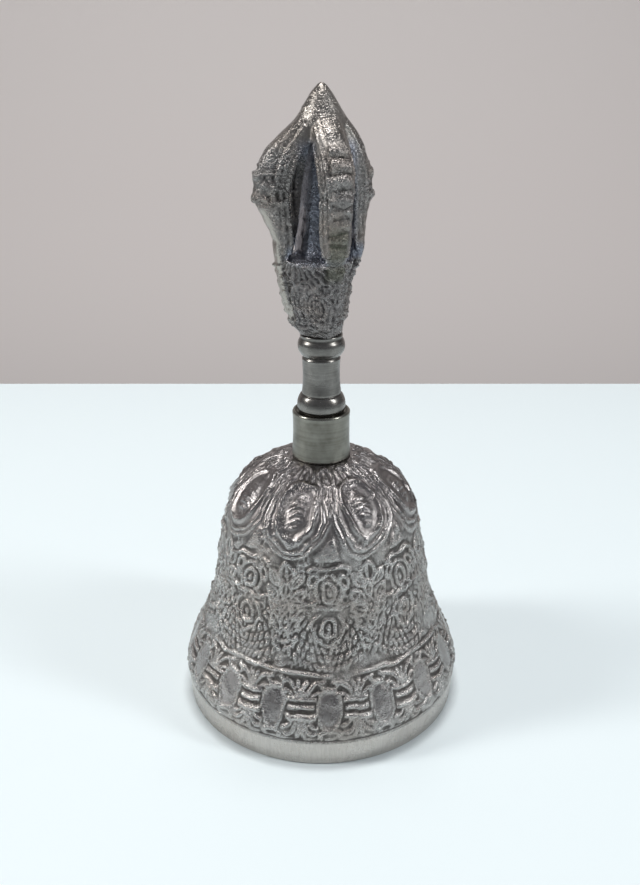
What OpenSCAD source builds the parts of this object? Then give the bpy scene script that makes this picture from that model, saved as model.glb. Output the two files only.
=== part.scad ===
// Hand bell with a cast half-vajra handle.
// Frame: millimetres, +Z up, origin on the axis in the plane of the rim.
// The collar and spindle are threaded on an eye bolt and clamped between the
// cast head and the crown of the bell. The clapper hangs from the eye bolt.

/* [Bell] */
// Diameter at the top of the plain lip, where the bell is widest
lip_d = 67.8; // [56:0.1:82]
// How far the lip draws in towards the rim
lip_taper = 0.8; // [0.4:0.1:1.4]
// Height of the plain turned lip
lip_h = 5.6; // [3:0.1:8]
// Depth of the step from the lip to the ornamented wall
lip_step = 0.5; // [0.2:0.1:1]
// Height of the bell from the rim to its crown
bell_h = 62.2; // [51:0.1:76]
// Diameter of the waist as a share of the lip's
waist_share = 0.752; // [0.7:0.001:0.8]
// Height of the waist as a share of the bell's
waist_rise = 0.514; // [0.48:0.001:0.55]
// Diameter of the shoulder as a share of the lip's
shoulder_share = 0.655; // [0.6:0.001:0.69]
// Height of the shoulder as a share of the bell's
shoulder_rise = 0.788; // [0.76:0.001:0.81]
// Thickness of the wall
wall = 2.4; // [1.8:0.1:3]
// Thickness of the lip at the rim
lip_wall = 3; // [2.4:0.1:4]
// Thickness of the crown
crown_wall = 3; // [2.4:0.1:4]

/* [Collar] */
// Diameter of the collar at its foot
collar_d = 13.6; // [12:0.1:17]
// Diameter of the collar at its middle
collar_mid_d = 12.9; // [11.5:0.1:16]
// Diameter of the collar at its top
collar_top_d = 13.3; // [12:0.1:16.5]
// Height of the collar
collar_h = 11.3; // [9:0.1:14]
// Width of the chamfer round the top of the collar
collar_chamfer = 0.4; // [0.2:0.1:0.6]
// Depth of the dish in the top of the collar
dish_depth = 0.6; // [0.4:0.1:1]

/* [Spindle] */
// Height of the turned spindle
spindle_h = 18.3; // [15:0.1:22]
// Diameter of the lower bead
lower_bead_d = 10.8; // [9.5:0.1:11.4]
// Height of the lower bead
lower_bead_h = 4.7; // [3.8:0.1:5.6]
// Diameter of the thinnest part of the spindle
spindle_waist_d = 8.3; // [7.4:0.1:9]
// Diameter of the upper bead
upper_bead_d = 10.4; // [9.5:0.1:12]
// Height of the upper bead
upper_bead_h = 4.1; // [3.4:0.1:5]
// Diameter of the neck under the head
neck_d = 9.6; // [8.8:0.1:10.2]

/* [Head] */
// Height of the cast head
head_h = 51.4; // [44:0.1:62]
// Height of the solid block at the foot of the head
block_h = 17; // [15:0.1:20]
// Diameter of the block across the roots of the prongs, near its foot
block_d = 12.6; // [11:0.1:15]
// Diameter of the block across the roots of the prongs, at its top
block_top_d = 17.8; // [16:0.1:20]
// Height of the bevel round the foot of the block
foot_h = 2.2; // [1.6:0.1:3]
// How far the recessed faces of the block lie behind the prong roots
face_step = 0.7; // [0.4:0.1:1.2]
// Reach of each prong from the axis: left, front, right and back
prong_reach = [14.8, 13.2, 12.0, 13.2];
// Width of a prong
prong_w = 5.4; // [4.4:0.1:6.4]
// Height of the widest part of the prongs above the block
prong_bulge_z = 12.6; // [10:0.1:15]
// Distance from the axis to the inner edge of a prong at its root
window_r = 6.9; // [5.8:0.1:7.4]
// Height of the windows between the prongs
window_h = 25; // [21:0.1:29]
// Radius of the cap in which the prongs meet
cap_r = 4.4; // [3.6:0.1:4.8]
// Diameter of the centre prong at its root
centre_prong_d = 5.2; // [4.2:0.1:6]
// Diameter of the knobs on the back of each prong
knob_d = 4.4; // [3.6:0.1:5.2]
// Turn of the prongs about the axis
prong_turn = 20; // [0:1:89]

/* [Eye bolt, nut and washer] */
// Diameter of the bolt
bolt_d = 5; // [4:0.1:5.6]
// Depth of the bolt in the head
bolt_reach = 11; // [9:0.1:13]
// Radial clearance of the bolt in the parts it passes through
bolt_clear = 0.15; // [0.1:0.05:0.3]
// Radial clearance of the bolt in the threads of the nut and the head
thread_clear = 0.03; // [0.02:0.01:0.05]
// Diameter of the stock of the eye
eye_wire_d = 2.6; // [2:0.1:3]
// Clear width inside the eye
eye_gap = 5.6; // [5:0.1:7]
// Distance from the face of the nut to the eye
eye_neck = 1.4; // [1:0.1:2.5]
// Width of the nut across its flats
nut_w = 8; // [7.6:0.1:9.6]
// Thickness of the nut
nut_t = 4; // [3:0.1:5]
// Diameter of the washer
washer_d = 12; // [10:0.1:13]
// Thickness of the washer
washer_t = 1.2; // [0.8:0.1:1.6]

/* [Clapper] */
// Diameter of the wire of the link
link_wire_d = 1.6; // [1.2:0.1:1.9]
// Clear width inside the link
link_gap = 6; // [5.2:0.1:7.2]
// Diameter of the clapper rod
rod_d = 2.4; // [2:0.1:3]
// Clear width inside the eye of the clapper rod
rod_eye_gap = 4; // [3.4:0.1:5]
// Height of the middle of the striker as a share of the bell's
striker_rise = 0.209; // [0.19:0.001:0.24]
// Diameter of the striker
striker_d = 12.4; // [10:0.1:14.8]
// Height of the waisted shank above the ball of the striker
striker_shank = 4; // [3:0.1:5]
// Thickness of the peened end of the rod
peen_t = 1.2; // [0.8:0.1:1.6]
// Gap between wires that hang in each other
hang_clear = 0.06; // [0.04:0.01:0.1]

/* [Hidden] */
$fn = 96;
eps = 0.01;
curve_steps = 12;

// Radii of the bell
lip_r = lip_d / 2;
mouth_r = lip_r - lip_taper;
waist_r = waist_share * lip_r;
waist_z = waist_rise * bell_h;
shoulder_r = shoulder_share * lip_r;
shoulder_z = shoulder_rise * bell_h;
wall_foot_r = lip_r - lip_step;
seat_r = collar_d / 2 + 0.4;
inner_seat_r = washer_d / 2 + 0.3;
bore_r = bolt_d / 2 + bolt_clear;
thread_r = bolt_d / 2 + thread_clear;

// Heights of the stack above the crown
collar_z = bell_h;
collar_top_z = collar_z + collar_h;
spindle_z = collar_top_z - dish_depth;
head_z = spindle_z + spindle_h;
bolt_top_z = head_z + bolt_reach;

// Heights of what hangs below the crown
crown_under_z = bell_h - crown_wall;
nut_top_z = crown_under_z - washer_t;
nut_under_z = nut_top_z - nut_t;
eye_wire_r = eye_wire_d / 2;
eye_ring_r = eye_gap / 2 + eye_wire_r;
eye_z = nut_under_z - eye_neck - eye_ring_r;
link_wire_r = link_wire_d / 2;
link_ring_r = link_gap / 2 + link_wire_r;
link_pivot_z = eye_z - eye_ring_r;
link_z = link_pivot_z + eye_wire_r + link_wire_r + hang_clear - link_ring_r;
rod_r = rod_d / 2;
rod_ring_r = rod_eye_gap / 2 + rod_r;
rod_pivot_z = link_z - link_ring_r;
rod_eye_z = rod_pivot_z + link_wire_r + rod_r + hang_clear - rod_ring_r;
striker_r = striker_d / 2;
striker_z = striker_rise * bell_h;
rod_foot_z = striker_z - striker_r;

// Directions, as [radius, height], in which the outline runs down from the waist, shoulder and crown
waist_lean = [0.14, -1];
shoulder_lean = [0.25, -1];
crown_lean = [0.93, -0.37];

// Point at share t of a cubic curve from a to d, drawn towards b and c
function cubic(a, b, c, d, t) =
    a * pow(1 - t, 3) + 3 * b * t * pow(1 - t, 2) + 3 * c * t * t * (1 - t) + d * pow(t, 3);

// Points along that curve, without its first point
function curve(a, b, c, d, steps = curve_steps) =
    [for (i = [1 : steps]) cubic(a, b, c, d, i / steps)];

// Wall of the bell from its foot to its crown, drawn in by inset and lowered by drop at the crown
function bell_side(inset, drop, top_r) =
    let (
        foot = [wall_foot_r - inset, lip_h + 0.3],
        flank = foot + [-0.1, 2.9],
        waist = [waist_r - inset, waist_z],
        shoulder = [shoulder_r - inset, shoulder_z - drop / 2],
        crown = [top_r, bell_h - drop]
    )
    concat(
        [foot, flank],
        curve(flank, flank + [-0.1, 1.9], waist + 9 * waist_lean, waist),
        curve(waist, waist - 3.1 * waist_lean, shoulder + 6.8 * shoulder_lean, shoulder),
        curve(shoulder, shoulder - 6.6 * shoulder_lean, crown + 9 * crown_lean, crown)
    );

// Profile of the bell: out and up the outside, then back down the inside
function bell_profile() =
    let (
        outer = bell_side(0, 0, seat_r),
        inner = bell_side(wall, crown_wall, inner_seat_r)
    )
    concat(
        [[mouth_r - lip_wall, 0], [mouth_r, 0], [lip_r, lip_h]],
        outer,
        [[bore_r, bell_h], [bore_r, bell_h - crown_wall]],
        [for (i = [len(inner) - 1 : -1 : 0]) inner[i]]
    );

// Ring of round stock in the XZ plane, its middle at height z
module wire_ring(ring_r, wire_r, z) {
    translate([0, 0, z])
        rotate([90, 0, 0])
            rotate_extrude()
                translate([ring_r, 0])
                    circle(r = wire_r, $fn = 40);
}

module bell_cup() {
    color("#8d8a84")
        rotate_extrude()
            polygon(bell_profile());
}

module collar() {
    foot = [collar_d / 2, 0];
    top = [collar_top_d / 2, collar_h - collar_chamfer];
    middle = (4 * collar_mid_d - foot[0] - top[0]) / 6;
    side = curve(foot, [middle, collar_h / 3], [middle, collar_h * 2 / 3], top);
    color("#9a9484")
        translate([0, 0, collar_z])
            rotate_extrude()
                polygon(concat(
                    [[bore_r, 0], foot],
                    side,
                    [[collar_top_d / 2 - collar_chamfer, collar_h],
                     [lower_bead_d / 2 + 0.2, collar_h - dish_depth],
                     [bore_r, collar_h - dish_depth]]));
}

module spindle() {
    bead_r = lower_bead_d / 2;
    waist = spindle_waist_d / 2;
    upper_r = upper_bead_d / 2;
    neck_r = neck_d / 2;
    waist_end = spindle_h - upper_bead_h - 1.1;
    groove_r = waist - 0.05;
    upper_foot = waist_end + 0.5;
    neck_foot = upper_foot + upper_bead_h;
    lower_side = curve([bead_r - 0.5, 0], [bead_r + 0.35, 0.6], [bead_r + 0.3, 2.8],
                       [waist + 0.4, lower_bead_h]);
    waist_side = curve([waist + 0.3, lower_bead_h + 0.15], [waist - 0.1, lower_bead_h + 3],
                       [waist - 0.05, waist_end - 3], [waist + 0.2, waist_end]);
    upper_side = curve([groove_r + 0.2, upper_foot], [upper_r + 0.35, upper_foot + 0.6],
                       [upper_r + 0.3, neck_foot - 0.8], [neck_r - 0.1, neck_foot]);
    color("#8f8b86")
        translate([0, 0, spindle_z])
            rotate_extrude()
                polygon(concat(
                    [[bore_r, 0], [bead_r - 0.5, 0]],
                    lower_side,
                    [[waist + 0.3, lower_bead_h + 0.15]],
                    waist_side,
                    [[groove_r, waist_end + 0.15], [groove_r, upper_foot - 0.15],
                     [groove_r + 0.2, upper_foot]],
                    upper_side,
                    [[neck_r, spindle_h], [bore_r, spindle_h]]));
}

// Height above the head's foot at which the prongs meet
function meet_h() = block_h + window_h;

// Foot of the cap over the prongs, as [radius, height]
function cap_foot() = [cap_r, meet_h() + 3.4];

// Outline of the cap from its foot to the tip of the head
function cap_side() = curve(cap_foot(), cap_foot() + [-0.9, 1.6], [2.2, head_h - 1.8], [0, head_h]);

// Back of a prong of that reach, from the foot of the head to the cap, as [radius, height]
function prong_back(reach) =
    let (
        r = reach - knob_d / 2 * 0.6,
        foot = [block_d / 2 - 0.1, foot_h],
        root = [block_top_d / 2, block_h - 1.4],
        bulge = [r, block_h + prong_bulge_z]
    )
    concat(
        [[neck_d / 2, 0], foot],
        curve(foot, foot + [0.1, 6], root + [-0.3, -5], root),
        curve(root, root + [0.3, 4.5], bulge + [0, -5.5], bulge),
        curve(bulge, bulge + [0, 5.5], cap_foot() + [3.4, -3.6], cap_foot()),
        [[0, cap_foot()[1]]]
    );

// Window inside a prong of that reach, from its sill to its top, as [radius, height]
function window_side(reach) =
    let (
        sill = [window_r, block_h],
        bulge = [reach - 5.7, block_h + prong_bulge_z + 2],
        top = [0.9, meet_h()]
    )
    concat(
        [sill],
        curve(sill, sill + [0.1, 5.5], bulge + [0.2, -5.5], bulge),
        curve(bulge, bulge + [-0.2, 4.4], top + [3.3, -2.9], top)
    );

// One prong with its share of the block and the hood
module prong(reach) {
    rotate([90, 0, 0])
        linear_extrude(prong_w, center = true)
            difference() {
                polygon(concat([[0, 0]], prong_back(reach)));
                polygon(concat([[-1, block_h]], window_side(reach), [[-1, meet_h()]]));
            }
    knob_h = block_h + prong_bulge_z;
    translate([reach - knob_d / 2, 0, knob_h])
        sphere(d = knob_d, $fn = 32);
    translate([reach - knob_d / 2 - 0.8, 0, knob_h + 3.6])
        sphere(d = knob_d * 0.9, $fn = 32);
}

module vajra_head() {
    face_r = block_d / 2 - face_step;
    face_top_r = block_top_d / 2 - face_step - 0.5;
    root_r = centre_prong_d / 2;
    sunk_h = block_h - 1;
    color("#85827d")
        translate([0, 0, head_z])
            difference() {
                union() {
                    rotate_extrude()
                        polygon(concat(
                            [[0, 0], [neck_d / 2, 0], [face_r, foot_h]],
                            curve([face_r, foot_h], [face_r + 0.1, foot_h + 6],
                                  [face_top_r - 0.3, block_h - 5], [face_top_r, block_h - 0.6]),
                            [[face_top_r - 0.6, block_h], [0, block_h]]));
                    rotate_extrude()
                        polygon(concat(
                            [[0, meet_h()], [cap_r - 0.8, meet_h()], cap_foot()],
                            cap_side()));
                    rotate_extrude()
                        polygon(concat(
                            [[0, sunk_h], [root_r - 0.6, sunk_h]],
                            curve([root_r - 0.6, sunk_h], [root_r + 0.9, block_h + 4],
                                  [1.2, block_h + 12], [0.7, meet_h() + eps]),
                            [[0, meet_h() + eps]]));
                    for (i = [0 : len(prong_reach) - 1])
                        rotate([0, 0, 180 + prong_turn + 90 * i])
                            prong(prong_reach[i]);
                }
                translate([0, 0, -eps])
                    cylinder(r = thread_r, h = bolt_reach + 1);
            }
}

module eye_bolt() {
    color("#b9b9b6") {
        translate([0, 0, eye_z + eye_ring_r])
            cylinder(d = bolt_d, h = bolt_top_z - eye_z - eye_ring_r);
        wire_ring(eye_ring_r, eye_wire_r, eye_z);
    }
}

module crown_washer() {
    color("#b9b9b6")
        translate([0, 0, nut_top_z])
            difference() {
                cylinder(d = washer_d, h = washer_t);
                translate([0, 0, -eps])
                    cylinder(r = bore_r, h = washer_t + 2 * eps);
            }
}

module crown_nut() {
    color("#b9b9b6")
        translate([0, 0, nut_under_z])
            difference() {
                cylinder(d = nut_w / cos(30), h = nut_t, $fn = 6);
                translate([0, 0, -eps])
                    cylinder(r = thread_r, h = nut_t + 2 * eps);
            }
}

module clapper_link() {
    color("#b9b9b6")
        rotate([0, 0, 90])
            wire_ring(link_ring_r, link_wire_r, link_z);
}

module clapper_rod() {
    color("#b9b9b6") {
        wire_ring(rod_ring_r, rod_r, rod_eye_z);
        translate([0, 0, rod_foot_z - 0.2])
            cylinder(r = rod_r, h = rod_eye_z - rod_ring_r - rod_foot_z + 0.2);
        translate([0, 0, rod_foot_z - peen_t])
            cylinder(r1 = rod_r + 0.4, r2 = rod_r + 1.1, h = peen_t);
    }
}

module striker() {
    foot_r = rod_r + 1.4;
    shank_top = striker_z + striker_r + striker_shank;
    foot_rise = striker_r - sqrt(striker_r * striker_r - foot_r * foot_r);
    belly = [for (a = [-asin((striker_r - foot_rise) / striker_r) : 6 : 48])
             [striker_r * cos(a), striker_z + striker_r * sin(a)]];
    last = belly[len(belly) - 1];
    color("#b08d4a")
        rotate_extrude()
            polygon(concat(
                [[rod_r, rod_foot_z], [foot_r - 0.4, rod_foot_z], [foot_r, rod_foot_z + foot_rise]],
                belly,
                curve(last, last + [-1.6, 1.4], [rod_r + 1.1, shank_top - striker_shank * 0.8],
                      [rod_r + 1, shank_top]),
                [[rod_r, shank_top]]));
}

bell_cup();
collar();
spindle();
vajra_head();
eye_bolt();
crown_washer();
crown_nut();
clapper_link();
clapper_rod();
striker();
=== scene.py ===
"""Tibetan hand bell: a cast bell with lotus, pearl and vajra relief, a turned collar and
spindle, and a cast half-vajra head. Shapes are worked out in millimetres and put into
meshes in metres, with +Z up the bell's axis and the rim on the floor."""
import math
import bpy
import numpy as np
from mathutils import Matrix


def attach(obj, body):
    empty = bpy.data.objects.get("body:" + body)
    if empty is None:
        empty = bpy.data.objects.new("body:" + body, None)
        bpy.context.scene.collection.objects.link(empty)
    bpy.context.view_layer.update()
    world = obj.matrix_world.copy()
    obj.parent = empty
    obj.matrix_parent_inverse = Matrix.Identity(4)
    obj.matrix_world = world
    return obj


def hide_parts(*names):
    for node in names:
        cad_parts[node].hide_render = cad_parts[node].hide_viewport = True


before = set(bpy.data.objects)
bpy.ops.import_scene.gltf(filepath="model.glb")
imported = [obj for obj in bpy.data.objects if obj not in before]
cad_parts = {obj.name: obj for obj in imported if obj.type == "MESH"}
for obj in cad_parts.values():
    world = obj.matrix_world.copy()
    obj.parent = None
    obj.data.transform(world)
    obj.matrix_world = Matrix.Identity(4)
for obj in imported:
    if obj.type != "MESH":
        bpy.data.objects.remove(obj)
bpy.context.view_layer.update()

MM = 0.001


# ---------------------------------------------------------------- arrays to meshes

def put_mesh(name, points, faces, material, body, replaced=(), fields=None):
    """Puts an (n, 3) array of millimetre points, and arrays of face corners, into a new piece.

    fields holds further values of each point, such as how far it stands out."""
    mesh = bpy.data.meshes.new(name)
    sizes = np.concatenate([np.full(len(f), f.shape[1]) for f in faces])
    corners = np.concatenate([f.ravel() for f in faces]).astype(np.int32)
    mesh.vertices.add(len(points))
    mesh.vertices.foreach_set("co", (points * MM).astype(np.float32).ravel())
    mesh.loops.add(len(corners))
    mesh.loops.foreach_set("vertex_index", corners)
    mesh.polygons.add(len(sizes))
    starts = np.concatenate([[0], np.cumsum(sizes)[:-1]]).astype(np.int32)
    mesh.polygons.foreach_set("loop_start", starts)
    mesh.update(calc_edges=True)
    mesh.validate()
    mesh.shade_smooth()
    for key, values in (fields or {}).items():
        layer = mesh.attributes.new(key, "FLOAT", "POINT")
        layer.data.foreach_set("value", np.asarray(values, dtype=np.float32))
    piece = bpy.data.objects.new(name, mesh)
    bpy.context.scene.collection.objects.link(piece)
    mesh.materials.append(material)
    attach(piece, body)
    if replaced:
        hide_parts(*replaced)
    return piece


def grid_faces(rows, columns, closed_rows=False, first=0):
    """Quads of a grid of points that closes round its columns, and round its rows if asked."""
    i = np.arange(rows if closed_rows else rows - 1)[:, None]
    j = np.arange(columns)[None, :]
    here = i * columns
    above = (i + 1) % rows * columns
    ahead = (j + 1) % columns
    quads = np.stack([here + j, here + ahead, above + ahead, above + j], axis=-1)
    return quads.reshape(-1, 4) + first


def pole_faces(ring_start, columns, pole, upward):
    """Triangles from a ring of points to the single point that closes it."""
    j = np.arange(columns)
    ahead = (j + 1) % columns
    a, b = (j, ahead) if upward else (ahead, j)
    return np.stack([ring_start + a, ring_start + b, np.full(columns, pole)], axis=-1)


def cubic(a, b, c, d, count):
    """Points along the cubic Bezier curve from a to d with handles b and c, without a."""
    t = np.linspace(0, 1, count + 1)[1:, None]
    a, b, c, d = (np.asarray(p, dtype=float) for p in (a, b, c, d))
    return a * (1 - t) ** 3 + 3 * b * t * (1 - t) ** 2 + 3 * c * t ** 2 * (1 - t) + d * t ** 3


def arc_lengths(path):
    """Distance along a path of points from its first point to each."""
    steps = np.linalg.norm(np.diff(path, axis=0), axis=1)
    return np.concatenate([[0], np.cumsum(steps)])


def evenly(path, count):
    """The same path as count points at equal distances along it."""
    length = arc_lengths(path)
    at = np.linspace(0, length[-1], count)
    return np.stack([np.interp(at, length, path[:, k]) for k in range(path.shape[1])], axis=-1)


def catmull(points, count):
    """A smooth Catmull-Rom curve through points, as count points at equal distances."""
    p = np.asarray(points, dtype=float)
    p = np.vstack([2 * p[0] - p[1], p, 2 * p[-1] - p[-2]])
    t = np.linspace(0, 1, 12, endpoint=False)[:, None]
    spans = [0.5 * (2 * b + (c - a) * t + (2 * a - 5 * b + 4 * c - d) * t ** 2
                    + (3 * b - a - 3 * c + d) * t ** 3)
             for a, b, c, d in zip(p, p[1:], p[2:], p[3:])]
    return evenly(np.vstack(spans + [p[-2:-1]]), count)


def grain(points, size, seed):
    """Smooth value noise from -1 to 1: random numbers on a lattice of the given size,
    blended between the eight corners of each cell with the fade 3t^2 - 2t^3."""
    q = points / size + 1000.0
    cell = np.floor(q).astype(np.int64)
    t = q - cell
    t = t * t * (3 - 2 * t)
    total = np.zeros(len(points))
    for corner in range(8):
        step = np.array([corner & 1, corner >> 1 & 1, corner >> 2 & 1])
        c = cell + step
        h = (c[:, 0] * 73856093 ^ c[:, 1] * 19349663 ^ c[:, 2] * 83492791 ^ seed * 2654435761)
        h = (h ^ (h >> 13)) * 1274126177 & 0xFFFFFFFF
        h = (h ^ (h >> 16)) & 0xFFFF
        weight = np.prod(np.where(step, t, 1 - t), axis=1)
        total += weight * (h / 32767.5 - 1)
    return total


def step_up(low, high, x):
    """Smooth step from 0 at low to 1 at high."""
    t = np.clip((x - low) / (high - low), 0, 1)
    return t * t * (3 - 2 * t)


def neighbours_mean(values, edges, counts, rounds):
    """Each point's value averaged with its neighbours' along the mesh's edges, repeatedly."""
    for _ in range(rounds):
        total = np.stack([np.bincount(edges[:, 0], values[edges[:, 1], k], len(values))
                          + np.bincount(edges[:, 1], values[edges[:, 0], k], len(values))
                          for k in range(values.shape[1])], axis=-1)
        values = (values + total) / (1 + counts[:, None])
    return values


def stand_out(mesh_edges, points, normals, rounds, reach):
    """How far each point stands out of its averaged surface, over reach, from -1 to 1."""
    counts = np.bincount(mesh_edges.ravel(), minlength=len(points)).astype(float)
    mean = neighbours_mean(points, mesh_edges, counts, rounds)
    return np.clip(((points - mean) * normals).sum(axis=1) / reach, -1, 1)


# ---------------------------------------------------------------- shader expressions

class Value:
    """A socket in a material, with Python's operators adding Math nodes to it."""

    def __init__(self, recipe, socket):
        self.recipe = recipe
        self.socket = socket

    def _math(self, operation, *others):
        values = {i: other for i, other in enumerate(others)}
        return self.recipe.node("ShaderNodeMath", {"operation": operation}, values)

    def __add__(self, other):
        return self._math("ADD", self, other)

    __radd__ = __add__

    def __sub__(self, other):
        return self._math("SUBTRACT", self, other)

    def __rsub__(self, other):
        return self._math("SUBTRACT", other, self)

    def __mul__(self, other):
        return self._math("MULTIPLY", self, other)

    __rmul__ = __mul__

    def __truediv__(self, other):
        return self._math("DIVIDE", self, other)

    def __pow__(self, other):
        return self._math("POWER", self, other)

    def clamped(self):
        """The value held between 0 and 1."""
        return self.recipe.node("ShaderNodeClamp", {}, {0: self})

    def rise(self, low, high):
        """Smooth step from 0 where the value is low to 1 where it is high."""
        return self.recipe.node("ShaderNodeMapRange", {"interpolation_type": "SMOOTHSTEP"},
                                {0: self, 1: low, 2: high})


class Recipe:
    """A material being built on its Principled shader."""

    def __init__(self, name):
        self.material = bpy.data.materials.new(name)
        self.material.use_nodes = True
        self.tree = self.material.node_tree
        self.shader = self.tree.nodes["Principled BSDF"]
        self.place = self.node("ShaderNodeTexCoord", {}, {}, "Object")

    def node(self, kind, settings, inputs, output=0):
        """Adds a node: its settings first, then the values or links of its sockets."""
        added = self.tree.nodes.new(kind)
        for key, setting in settings.items():
            if key == "stops":
                ramp = added.color_ramp
                while len(ramp.elements) < len(setting):
                    ramp.elements.new(0.5)
                for element, (position, colour) in zip(ramp.elements, setting):
                    element.position = position
                    element.color = (*colour, 1)
            else:
                setattr(added, key, setting)
        for key, value in inputs.items():
            self.feed(added.inputs[key], value)
        return Value(self, added.outputs[output])

    def feed(self, socket, value):
        """Links a Value to a socket, or sets the socket to a number or colour."""
        if isinstance(value, Value):
            self.tree.links.new(value.socket, socket)
        elif hasattr(value, "__len__") and len(value) == 3 and socket.type == "RGBA":
            socket.default_value = (*value, 1)
        else:
            socket.default_value = value

    def field(self, name):
        """A value stored with each point of the piece."""
        return self.node("ShaderNodeAttribute", {"attribute_name": name}, {}, "Fac")

    def scaled(self, factors):
        """Object coordinates stretched by a factor along each axis."""
        return self.node("ShaderNodeMapping", {"vector_type": "POINT"},
                         {"Vector": self.place, "Scale": factors})

    def noise(self, size_mm, detail=3.0, roughness=0.55, at=None):
        """Noise with features of the given size in millimetres, from 0 to 1."""
        return self.node("ShaderNodeTexNoise", {"noise_dimensions": "3D"},
                         {"Vector": at or self.place, "Scale": 1000.0 / size_mm, "Detail": detail,
                          "Roughness": roughness})

    def blend(self, share, a, b):
        """Colour a turning to colour b as share goes from 0 to 1."""
        return self.node("ShaderNodeMix", {"data_type": "RGBA"}, {0: share, 6: a, 7: b}, 2)

    def finish(self, colour, roughness, metallic, bump=None, bump_mm=0.05):
        """Feeds the shader and returns the material."""
        self.feed(self.shader.inputs["Base Color"], colour)
        self.feed(self.shader.inputs["Roughness"], roughness)
        self.feed(self.shader.inputs["Metallic"], metallic)
        if bump is not None:
            normal = self.node("ShaderNodeBump", {},
                               {"Height": bump, "Distance": bump_mm * MM, "Strength": 1.0})
            self.feed(self.shader.inputs["Normal"], normal)
        return self.material


def cast_metal(name, bright, dark, shine, rubbed, depth):
    """Old white metal as cast: dark patina in the hollows, deepened there by painted shade,
    worn bright on what stands out, with a fine skin of casting grain; the lip and the arms are
    rubbed smoother, with fine upright scratches. Painted shade also darkens whole areas that a field marks,
    and a painted blue reflection tints the faces marked inside."""
    m = Recipe(name)
    out = m.field("stands_out")
    smooth = m.field("smooth")
    inside = m.field("inside")
    mottle = m.noise(5.0, 4.0)
    fine = m.noise(0.35, 4.0, 0.65)
    pits = m.noise(0.9, 3.0)
    scratches = m.noise(0.3, 3.0, 0.6, m.scaled((1, 1, 0.06)))
    worms = 1.0 - ((m.noise(0.8, 2.0, 0.5) - 0.5) * 9.0) ** 2.0
    # real patina and painted shade: points that sit below their surroundings turn towards the dark colour
    hollow = (out + (fine - 0.5) * 0.5).rise(-0.75, 0.1)
    wear = (out * 0.2 + 0.48 + smooth * 0.2 + (mottle - 0.5) * 1.1 + (fine - 0.5) * 0.7).clamped()
    body = m.blend(wear, tuple(0.55 * b + 0.45 * d for b, d in zip(bright, dark)), bright)
    stained = m.blend(m.noise(9.0, 2.0).rise(0.42, 0.66) * 0.35, body, (0.33, 0.265, 0.22))
    patina_and_painted_shade = m.blend(hollow, dark, stained)
    brushed = m.blend(scratches.rise(0.35, 0.65) * 0.35, rubbed, tuple(0.62 * c for c in rubbed))
    handled = m.blend(smooth * 0.8, patina_and_painted_shade, brushed)
    # painted shade: a dark grey-violet over the areas its field marks (the bell's shoulder and ovals, the
    # head's block)
    with_painted_shade = m.blend(m.field("dusk") * 0.55, handled, (0.17, 0.158, 0.168))
    green = m.blend(m.field("olive") * 0.6, with_painted_shade, (0.13, 0.135, 0.1))
    # painted reflection: a blue tint, as of the pale surroundings, on the faces marked inside
    with_painted_reflection = m.blend(inside * 0.6, green, (0.27, 0.3, 0.38))
    polish = wear.rise(0.3, 0.9)
    roughness = 0.33 - polish * (0.33 - shine) + (pits - 0.5) * 0.12 + smooth * 0.08
    rough_skin = fine * 0.35 + pits * 0.9 + worms.clamped() * 0.45
    bump = rough_skin * (1.0 - smooth * 1.3).clamped() + scratches * smooth * 0.25
    return m.finish(with_painted_reflection, roughness, 1.0, bump, depth)


def turned_metal(name, bright, dark, shine, ring_mm=0.34):
    """Metal turned on a lathe: fine rings of uneven depth round the axis, a dull film and
    stray scratches."""
    m = Recipe(name)
    rings = m.noise(ring_mm, 2.0, 0.6, m.scaled((0.02, 0.02, 1.0)))
    wide = m.noise(1.6, 2.0, 0.5, m.scaled((0.05, 0.05, 1.0)))
    film = m.noise(3.0, 4.0)
    fine = m.noise(0.3, 3.0, 0.6)
    out = m.field("stands_out")
    wear = (film * 0.6 + rings * 0.35 + out * 0.3 + 0.1).clamped()
    body = m.blend(wear.rise(0.2, 0.85), dark, bright)
    roughness = shine + (1.0 - wear) * 0.22 + (rings - 0.5) * 0.12
    bump = rings * 0.7 + wide * 0.5 + fine * 0.15
    return m.finish(body, roughness, 1.0, bump, 0.03)


bell_metal = cast_metal("patinated bell metal", (0.56, 0.54, 0.52), (0.13, 0.12, 0.113), 0.13,
                        (0.56, 0.52, 0.485), 0.2)
head_metal = cast_metal("patinated head metal", (0.31, 0.295, 0.285), (0.05, 0.046, 0.044), 0.12,
                        (0.42, 0.39, 0.35), 0.28)
collar_metal = turned_metal("turned collar metal", (0.25, 0.245, 0.215), (0.09, 0.08, 0.064), 0.24)
spindle_metal = turned_metal("turned spindle metal", (0.25, 0.24, 0.225), (0.07, 0.064, 0.058), 0.2)
steel = turned_metal("hardware steel", (0.45, 0.45, 0.45), (0.2, 0.19, 0.18), 0.3)
striker_metal = turned_metal("striker brass", (0.55, 0.43, 0.22), (0.22, 0.16, 0.08), 0.34, 0.5)


# ---------------------------------------------------------------- the bell

BELL_H = 62.2
CROWN_T = 3.0
WALL = 2.4
TILES = 8
COLUMNS = 448
SIDE_ROWS = 192
PETAL_TWIST = 6.5
FOOT_TWIST = 3.2


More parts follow.
